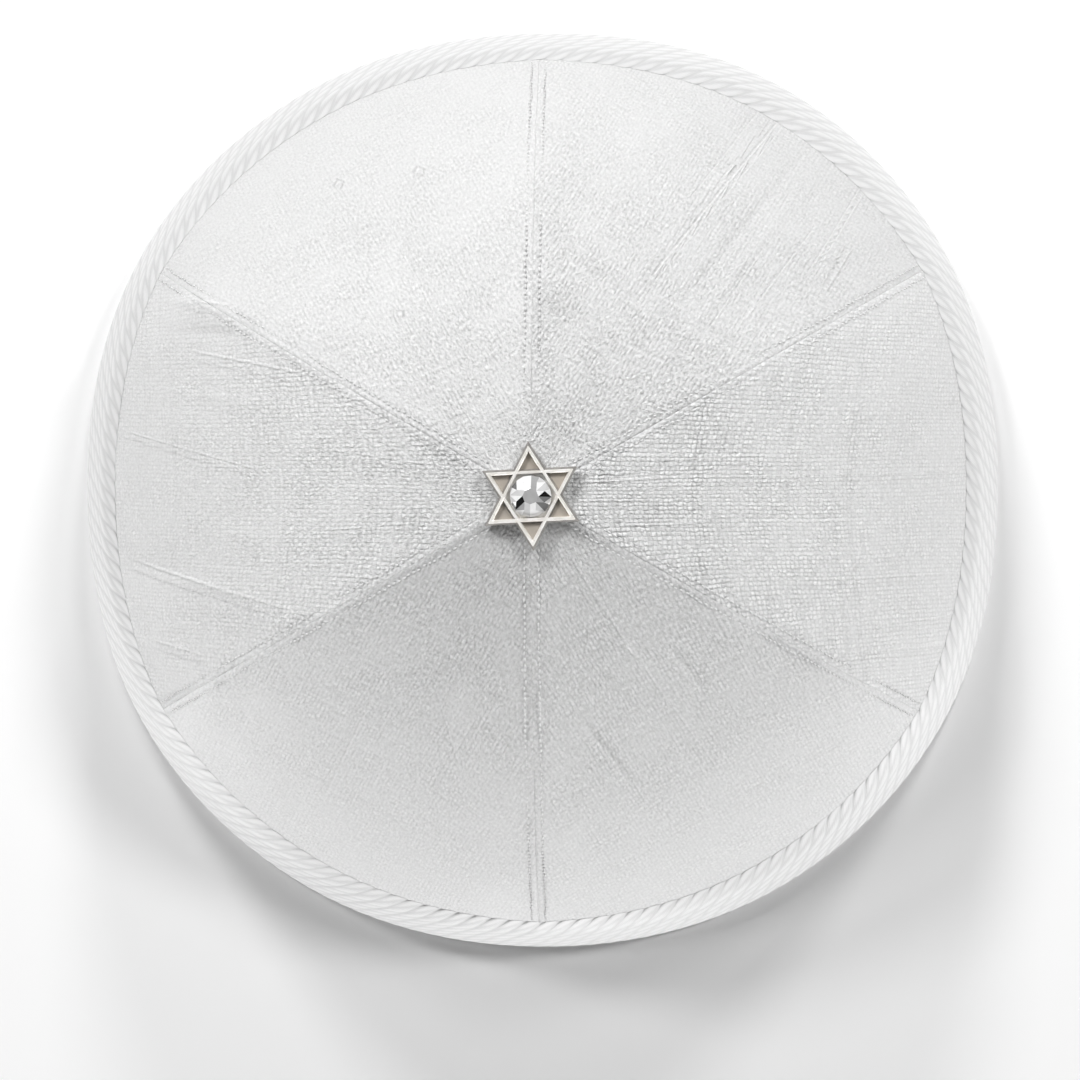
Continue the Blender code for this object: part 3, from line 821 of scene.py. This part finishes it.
def slub_map(points):
    """For each point: its distance from a slub's line, in shares of its width, and its height."""
    plan = points[..., :2] / MM
    found = np.zeros(plan.shape)
    found[..., 0] = NO_SLUB
    for start_x, start_y, end_x, end_y, width, height in SLUBS:
        reach = math.hypot(end_x - start_x, end_y - start_y)
        way_x, way_y = (end_x - start_x) / reach, (end_y - start_y) / reach
        from_x, from_y = plan[..., 0] - start_x, plan[..., 1] - start_y
        along = from_x * way_x + from_y * way_y
        aside = (from_y * way_x - from_x * way_y) / width
        from_end = 0.5 + SLUB_OVERRUN - np.abs(along / reach - 0.5)
        inside = np.clip(from_end / SLUB_TAPER, 0.0, 1.0)
        nearest = np.minimum(SLUB_ZONE, np.abs(found[..., 0]))
        near = (np.abs(aside) < nearest) & (inside > 0)
        found[near, 0] = aside[near]
        found[near, 1] = (height * inside)[near]
    return found


def shell_faces(rows, columns, inner_rows, inner_columns):
    """Faces of an outer grid, an inner grid with every fourth point, and the strip between."""
    outer = np.arange(rows * columns).reshape(rows, columns)
    inner = rows * columns + np.arange(inner_rows * inner_columns).reshape(inner_rows, inner_columns)
    faces = grid_faces(rows, columns).tolist()
    faces += grid_faces(inner_rows, inner_columns, rows * columns)[:, ::-1].tolist()
    sides = (
        (outer[0], inner[0]),
        (outer[:, -1], inner[:, -1]),
        (outer[-1, ::-1], inner[-1, ::-1]),
        (outer[::-1, 0], inner[::-1, 0]),
    )
    half = INNER_STEP // 2
    for side in sides:
        outside, inside = (line.tolist() for line in side)
        for i, (near, far) in enumerate(zip(inside, inside[1:])):
            edge = outside[INNER_STEP * i : INNER_STEP * (i + 1) + 1]
            for k in range(half):
                faces.append([edge[k], edge[k + 1], near])
            faces.append([edge[half], far, near])
            for k in range(half, INNER_STEP):
                faces.append([edge[k], edge[k + 1], far])
    return faces


def add_panel(number, cloth, wrong_side):
    """One gore of the crown as a thin shell with a detailed outer side."""
    points, distance, run, weave, seam = panel_grid(number)
    rows, columns = points.shape[:2]
    normals = grid_normals(points)
    on_first_side = np.arange(columns) < columns // 2
    sharpness = np.where(on_first_side, seam_sharpness(number, run), seam_sharpness(number + 1, run))
    outside = points + normals * cloth_relief(points, distance, run, sharpness)[..., None]
    inside = (points - normals * CLOTH_WALL)[::INNER_STEP, ::INNER_STEP]
    faces = shell_faces(rows, columns, *inside.shape[:2])
    name = f"panel_{number + 1}"
    every = np.concatenate([outside.reshape(-1, 3), inside.reshape(-1, 3)])
    piece = add_piece(f"cloth_{name}", every, faces, cloth, (name,))
    for uv_name, values in (("weave", weave), ("seam", seam), ("slub", slub_map(points))):
        inner = values[::INNER_STEP, ::INNER_STEP]
        add_uv(piece, uv_name, np.concatenate([values.reshape(-1, 2), inner.reshape(-1, 2)]))
    piece.data.materials.append(wrong_side)
    outer_count = (rows - 1) * (columns - 1)
    inner_count = (inside.shape[0] - 1) * (inside.shape[1] - 1)
    slots = np.zeros(len(piece.data.polygons), dtype=np.int32)
    slots[outer_count : outer_count + inner_count] = 1
    piece.data.polygons.foreach_set("material_index", slots)


def rounded_rods(centres, ways, ups):
    """Stitches, each a small round-ended rod along its way, as one set of points and faces."""
    turn = 2 * np.pi * np.arange(STITCH_SIDES) / STITCH_SIDES
    place = np.linspace(-1.0, 1.0, STITCH_RINGS)
    smallest = 0.03
    width = STITCH_THICKNESS / 2 * np.sqrt(np.maximum(1.0 - place**4, smallest))
    ring = np.cos(turn)[:, None, None] * np.cross(ways, ups) + np.sin(turn)[:, None, None] * ups
    body = ways * place[:, None, None, None] * STITCH_LENGTH / 2 + width[:, None, None, None] * ring
    points = np.moveaxis(centres + body, 2, 0)
    faces = []
    for rod in np.arange(points.size // 3).reshape(points.shape[:-1]).tolist():
        for lower, upper in zip(rod, rod[1:]):
            for k in range(STITCH_SIDES):
                after = (k + 1) % STITCH_SIDES
                faces.append([lower[k], lower[after], upper[after], upper[k]])
        faces += [rod[0][::-1], rod[-1]]
    return points.reshape(-1, 3), faces


def add_stitches(thread):
    """Two rows of topstitches beside every seam."""
    centres, ways, ups = [], [], []
    lengths = arc_length(SHARE_TABLE)
    lowest = float(arc_length(share_at_height(BRAID_HEIGHT + STITCH_END)))
    runs = np.arange(STITCH_START, lowest, STITCH_PITCH) + STITCH_PITCH / 2
    shares = np.interp(runs, lengths, SHARE_TABLE)
    for number in range(PANEL_COUNT):
        for side in (-1, 1):
            rows = []
            for shift in (-STITCH_REACH, 0.0, STITCH_REACH):
                radii, heights = profile(np.interp(runs + shift, lengths, SHARE_TABLE))
                turn = np.degrees(np.arcsin(STITCH_GROOVE[0] / radii))
                angles = FIRST_SEAM + 360.0 / PANEL_COUNT * number + side * turn
                rows.append(worn(radii, angles, heights))
            before, here, after = rows
            radii, heights = profile(shares, STITCH_REACH)
            up = unit(worn(radii, angles, heights) - here)
            way = unit(after - before)
            centres.append(here + up * STITCH_LIFT * STITCH_THICKNESS)
            ways.append(way)
            ups.append(unit(up - way * np.sum(up * way, axis=-1, keepdims=True)))
    centres, ways, ups = (np.concatenate(part) for part in (centres, ways, ups))
    shake = np.random.default_rng(7).normal(0.0, STITCH_SHAKE, (2, len(centres), 1))
    centres = centres + ways * shake[0] + np.cross(ways, ups) * shake[1]
    points, faces = rounded_rods(centres, ways, ups)
    piece = add_piece("seam_stitches", points, faces, thread, ())
    index = np.arange(len(points))
    around = index % STITCH_SIDES / STITCH_SIDES
    along = index // STITCH_SIDES % STITCH_RINGS * STITCH_TWIST
    add_uv(piece, "strand", np.stack([around, along], axis=-1))


def braid_side(side, base):
    """Rows down one side of the braid, from its edge to its foot.

    Columns: radius, height, the relief's way outwards and upwards, its share, place on the way
    down, and how much of the tips' reach the row has.
    """
    full_out = CLEARANCE + BAND_WALL
    rows = []
    for down in np.linspace(0.0, 1.0, BRAID_ROWS) ** ROW_CROWDING:
        height = BRAID_HEIGHT + (FOOT_ROUND - BRAID_HEIGHT) * down
        swell = math.sin(math.pi / 2 * min(1.0, (BRAID_HEIGHT - height) / EDGE_ROUND))
        out = base + side * (EDGE_LIFT + (full_out - EDGE_LIFT) * swell)
        share = share_at_height(height, out)
        here = np.array(profile(share, out))
        way = side * (np.array(profile(share, out + MM)) - here) / MM
        relief = np.interp(down, *zip(*RIB_RELIEF))
        tip = max(0.0, 1.0 - down / TIP_SHARE)
        rows.append((*here, *way, relief, down, tip))
    return np.array(rows)


def plain_rows(rows):
    """Rows of the same columns, without relief."""
    return np.array([(radius, height, 0.0, 0.0, 0.0, down, 0.0) for radius, height, down in rows])


def braid_section():
    """The braid's folded section: down its outer side, round the foot, up inside, into the slot."""
    outside = braid_side(1.0, 0.0)
    inside = braid_side(-1.0, -CLOTH_WALL)[::-1]
    down_column, tip_column = 5, 6
    inside[:, down_column] = 2.0 - inside[:, down_column]
    inside[:, tip_column] = 0.0
    foot = FOOT_ROUND / 2
    outer_foot, inner_foot = outside[-1, 0], inside[0, 0]
    foot_rows = (
        (outer_foot - foot * 0.15, FOOT_ROUND * 0.45, 1.0),
        (outer_foot - foot, 0.0, 1.0),
        (inner_foot + foot, 0.0, 1.0),
        (inner_foot + foot * 0.15, FOOT_ROUND * 0.45, 1.0),
    )
    slot_top = BRAID_HEIGHT - SLOT_DROP
    inner_wall, outer_wall = SLOT_LAP - CLOTH_WALL, -SLOT_LAP
    slot_rows = []
    for height, out, down in (
        (slot_top, inner_wall, 1.6),
        (BRAID_WALL, inner_wall, 1.2),
        (BRAID_WALL, outer_wall, 0.8),
        (slot_top, outer_wall, 0.4),
    ):
        slot_rows.append((*profile(share_at_height(height, out), out), down))
    return np.concatenate(
        [outside, plain_rows(foot_rows), inside, plain_rows(slot_rows), outside[:1]]
    )


def add_braid(material):
    """The braid: a folded band whose twisted strands are laid aslant round the crown's edge."""
    radius, height, way_out, way_up, relief, down, tip = braid_section().T
    rib = np.arange(RIB_COUNT * RIB_COLUMNS + 1)[:, None] / RIB_COLUMNS
    across = rib % 1.0
    turns = RIB_TURNS * down
    raised = 1.0 - np.abs(2.0 * across - 1.0) ** RIB_ROUNDNESS
    strand = 1.0 - np.abs(2.0 * ((turns + RIB_SLANT * across) % 1.0) - 1.0) ** 2
    lift = RIB_RISE * relief * raised * (1.0 - STRAND_SHARE + STRAND_SHARE * strand)
    reach = RIB_TIP * tip * raised
    radii = radius + way_out * lift - way_up * reach
    heights = height + way_up * lift + way_out * reach
    angles = 360.0 * (rib - RIB_SWEEP * down**RIB_BEND) / RIB_COUNT
    points = worn(radii, angles, heights)
    faces = grid_faces(*radii.shape)[:, ::-1].tolist()
    piece = add_piece("braid_trim", points, faces, material, ("rim_braid",))
    strand_uv = np.stack(np.broadcast_arrays(rib, turns), axis=-1)
    add_uv(piece, "strand", strand_uv.reshape(-1, 2))
    return piece


def rounded_triangle(inset, turn):
    """Corners of one of the star's triangles, moved in by an inset, with small round tips."""
    centre_radius = STAR_TIP_RADIUS - 2 * inset - 2 * TIP_ROUNDING
    points = []
    for corner in range(3):
        middle = turn + 120.0 * corner
        centre_x, centre_y = plan_place(centre_radius, middle)
        for bend in (-60.0, -30.0, 0.0, 30.0, 60.0):
            x, y = plan_place(TIP_ROUNDING, middle + bend)
            points.append((centre_x + x, centre_y + y))
    return points


def add_loop_faces(shape, loops, closed):
    """Faces between neighbouring loops, each with the same number of corners."""
    count = len(loops[0])
    following = loops[1:] + (loops[:1] if closed else [])
    for first, second in zip(loops, following):
        for k in range(count):
            after = (k + 1) % count
            shape.faces.new((first[k], first[after], second[after], second[k]))


def add_prism(shape, plan, bottom, top):
    """An upright solid over a flat outline."""
    upper = [shape.verts.new((x, y, top)) for x, y in plan]
    lower = [shape.verts.new((x, y, bottom)) for x, y in plan]
    shape.faces.new(upper)
    shape.faces.new(lower[::-1])
    add_loop_faces(shape, [lower, upper], False)


def shape_mesh(name, shape, placing, materials):
    """A mesh from a shape whose faces are turned outwards."""
    shape.normal_update()
    bmesh.ops.recalc_face_normals(shape, faces=shape.faces)
    shape.transform(placing)
    mesh = bpy.data.meshes.new(name)
    shape.to_mesh(mesh)
    shape.free()
    for material in materials:
        mesh.materials.append(material)
    return mesh


def add_star(base):
    """Two open triangles of bevelled bars, satin fields between them and a six-sided window."""
    shape = bmesh.new()
    for turn, drop in ((90.0, 0.0), (270.0, STAR_STEP)):
        loops = []
        for inset, height in BAR_SECTION:
            z = max(height - drop, drop)
            loops.append([shape.verts.new((x, y, z)) for x, y in rounded_triangle(inset, turn)])
        add_loop_faces(shape, loops, True)
    bar_faces = len(shape.faces)
    corner_count = len(rounded_triangle(0.0, 0.0))
    to_corner = math.cos(math.radians(30.0))
    window = STAR_TIP_RADIUS / 2 - WINDOW_INSET
    corner = window / to_corner
    field_tip = STAR_TIP_RADIUS - 4 * FIELD_INSET
    for middle in range(90, 450, 60):
        places = ((field_tip, middle), (corner, middle + 30), (corner, middle - 30))
        add_prism(shape, [plan_place(*place) for place in places], STAR_STEP, FIELD_HEIGHT)
    field_faces = len(shape.faces)
    floor_corner = (window + WINDOW_LAP) / to_corner
    plan = [plan_place(floor_corner, 60.0 * k) for k in range(6)]
    add_prism(shape, plan, STAR_STEP, WINDOW_FLOOR)
    placing = Matrix.Translation(base) @ Matrix.Rotation(math.radians(STAR_TURN), 4, "Z")
    materials = (silver_material(), field_material(), painted_shade_slope_material())
    mesh = shape_mesh("silver_star", shape, placing, materials)
    # The bars' outer slopes take the silver with painted shade, the fields their taupe with painted
    # light
    for face in mesh.polygons:
        step = face.index // corner_count % len(BAR_SECTION)
        on_painted_shade_slope = face.index < bar_faces and step < SLOPE_STEPS
        on_field = bar_faces <= face.index < field_faces
        face.material_index = 2 if on_painted_shade_slope else int(on_field)
    link_piece("silver_star", mesh, ("star",))


def add_crystal(base):
    """A cut stone whose facets take five painted reflections: fixed greys for what its mirrored back
    reflects.
    """
    count = len(FACET_PAINTED_REFLECTIONS)
    half = 180.0 / count
    girdle = STAR_TIP_RADIUS / 2 - WINDOW_INSET - CRYSTAL_GAP
    table = TABLE_SHARE * girdle
    middle = STAR_FACET_SHARE * girdle
    fall = (middle * math.cos(math.radians(half)) - table) / (girdle - table)
    middle_height = CRYSTAL_HEIGHT + fall * (GIRDLE_HIGH - CRYSTAL_HEIGHT)
    painted_reflections = list(PAINTED_REFLECTION_LEVELS)
    shape = bmesh.new()

    def ring(sides, radius, turn, height):
        angles = [CRYSTAL_TURN + turn + 360.0 * k / sides for k in range(sides)]
        return [shape.verts.new((*plan_place(radius, angle), height)) for angle in angles]

    def facet(corners, shade):
        shape.faces.new(corners).material_index = painted_reflections.index(shade)

    top = ring(count, table, 0.0, CRYSTAL_HEIGHT)
    shoulder = ring(count, middle, half, middle_height)
    edge = ring(2 * count, girdle, 0.0, GIRDLE_HIGH)
    low_edge = ring(2 * count, girdle, 0.0, GIRDLE_LOW)
    back = ring(2 * count, girdle - GIRDLE_LOW, 0.0, 0.0)
    facet(top, "grey")
    for k, (first_kite, second_kite, star, first_rim, second_rim) in enumerate(FACET_PAINTED_REFLECTIONS):
        after = (k + 1) % count
        facet((top[k], shoulder[k], top[after]), star)
        facet((top[k], shoulder[k - 1], edge[2 * k]), first_kite)
        facet((top[k], edge[2 * k], shoulder[k]), second_kite)
        facet((shoulder[k], edge[2 * k], edge[2 * k + 1]), first_rim)
        facet((shoulder[k], edge[2 * k + 1], edge[2 * after]), second_rim)
    for upper, lower in ((edge, low_edge), (low_edge, back)):
        for k in range(2 * count):
            after = (k + 1) % (2 * count)
            facet((upper[k], lower[k], lower[after], upper[after]), "pale")
    facet(back[::-1], "dark")
    placing = Matrix.Translation(base + Vector((0.0, 0.0, WINDOW_FLOOR + CLEARANCE)))
    mesh = shape_mesh("cut_crystal", shape, placing, map(crystal_painted_reflection_material, painted_reflections))
    link_piece("cut_crystal", mesh, ("crystal",))


def add_ornament():
    base = Vector((0.0, 0.0, CROWN_DEPTH + CLEARANCE))
    add_star(base)
    add_crystal(base)
    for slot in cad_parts["star_post"].material_slots:
        slot.material = steel_material()


def add_camera():
    """A camera above the cap that frames it as the photograph does."""
    data = bpy.data.cameras.new("camera")
    data.sensor_width = SENSOR
    across = PHOTO_PIXELS / PIXELS_PER_METRE
    lean = [math.tan(math.radians(angle)) * CAMERA_HEIGHT for angle in CAMERA_LEAN]
    place = Vector((*lean, CAMERA_HEIGHT))
    aim_x = PHOTO_PIXELS / 2 - RIM_CENTRE_PIXEL[0]
    aim_y = RIM_CENTRE_PIXEL[1] - PHOTO_PIXELS / 2
    aim = Vector((aim_x, aim_y, 0.0)) / PIXELS_PER_METRE
    data.lens = SENSOR * (place - aim).length / across
    camera = bpy.data.objects.new("camera", data)
    back = (place - aim).normalized()
    right = Vector((0.0, 1.0, 0.0)).cross(back).normalized()
    up = back.cross(right)
    turn = Matrix((right, up, back)).transposed().to_4x4()
    camera.matrix_world = Matrix.Translation(place) @ turn
    bpy.context.scene.collection.objects.link(camera)
    bpy.context.scene.camera = camera


def add_light(name, azimuth, elevation, distance, size, share):
    """A round soft light. Its share is of the light that makes a white surface white."""
    data = bpy.data.lights.new(name, "AREA")
    data.shape = "DISK"
    data.size = size
    data.energy = share * (math.pi * distance) ** 2
    lamp = bpy.data.objects.new(name, data)
    out, up = plan_place(1.0, elevation)
    way = Vector((*plan_place(out, azimuth), up))
    lamp.location = way * distance
    lamp.rotation_euler = way.to_track_quat("Z", "Y").to_euler()
    bpy.context.scene.collection.objects.link(lamp)
    return lamp


def flag_light(lamp, state, *shapes):
    """Keep a lamp's light off some shapes (EXCLUDE) or to them (INCLUDE), as studio flags do."""
    group = bpy.data.collections.new(f"{lamp.name}_flag")
    for shape in shapes:
        group.objects.link(shape)
    for member in group.collection_objects:
        member.light_linking.link_state = state
    lamp.light_linking.receiver_collection = group


def add_floor():
    mesh = bpy.data.meshes.new("floor")
    corners = [(x * FLOOR_REACH, y * FLOOR_REACH, 0) for x, y in ((-1, -1), (1, -1), (1, 1), (-1, 1))]
    mesh.from_pydata(corners, [], [(0, 1, 2, 3)])
    mesh.materials.append(floor_material())
    floor = bpy.data.objects.new("floor", mesh)
    floor.location.z = -FLOOR_DROP
    bpy.context.scene.collection.objects.link(floor)
    return floor


def add_studio(braid):
    """A white floor, lights for the cap, and lights of the floor's own that draw the shadow."""
    floor = add_floor()
    for light in CAP_LIGHTS:
        flag_light(add_light(*light), "EXCLUDE", floor)
    for light in FLOOR_LIGHTS:
        flag_light(add_light(*light), "INCLUDE", floor)
    flag_light(add_light(*CROWN_LIGHT), "EXCLUDE", floor, braid)
    world = bpy.data.worlds.new("studio")
    world.use_nodes = True
    background = world.node_tree.nodes["Background"]
    background.inputs["Color"].default_value = grey(1.0)
    background.inputs["Strength"].default_value = WORLD_LIGHT
    bpy.context.scene.world = world
    bpy.context.scene.view_settings.view_transform = "Standard"


add_camera()
wrong_side = lining_side_material()
for number in range(PANEL_COUNT):
    add_panel(number, cloth_material(number), wrong_side)
add_stitches(stitch_material())
braid = add_braid(braid_material())
add_ornament()
add_studio(braid)
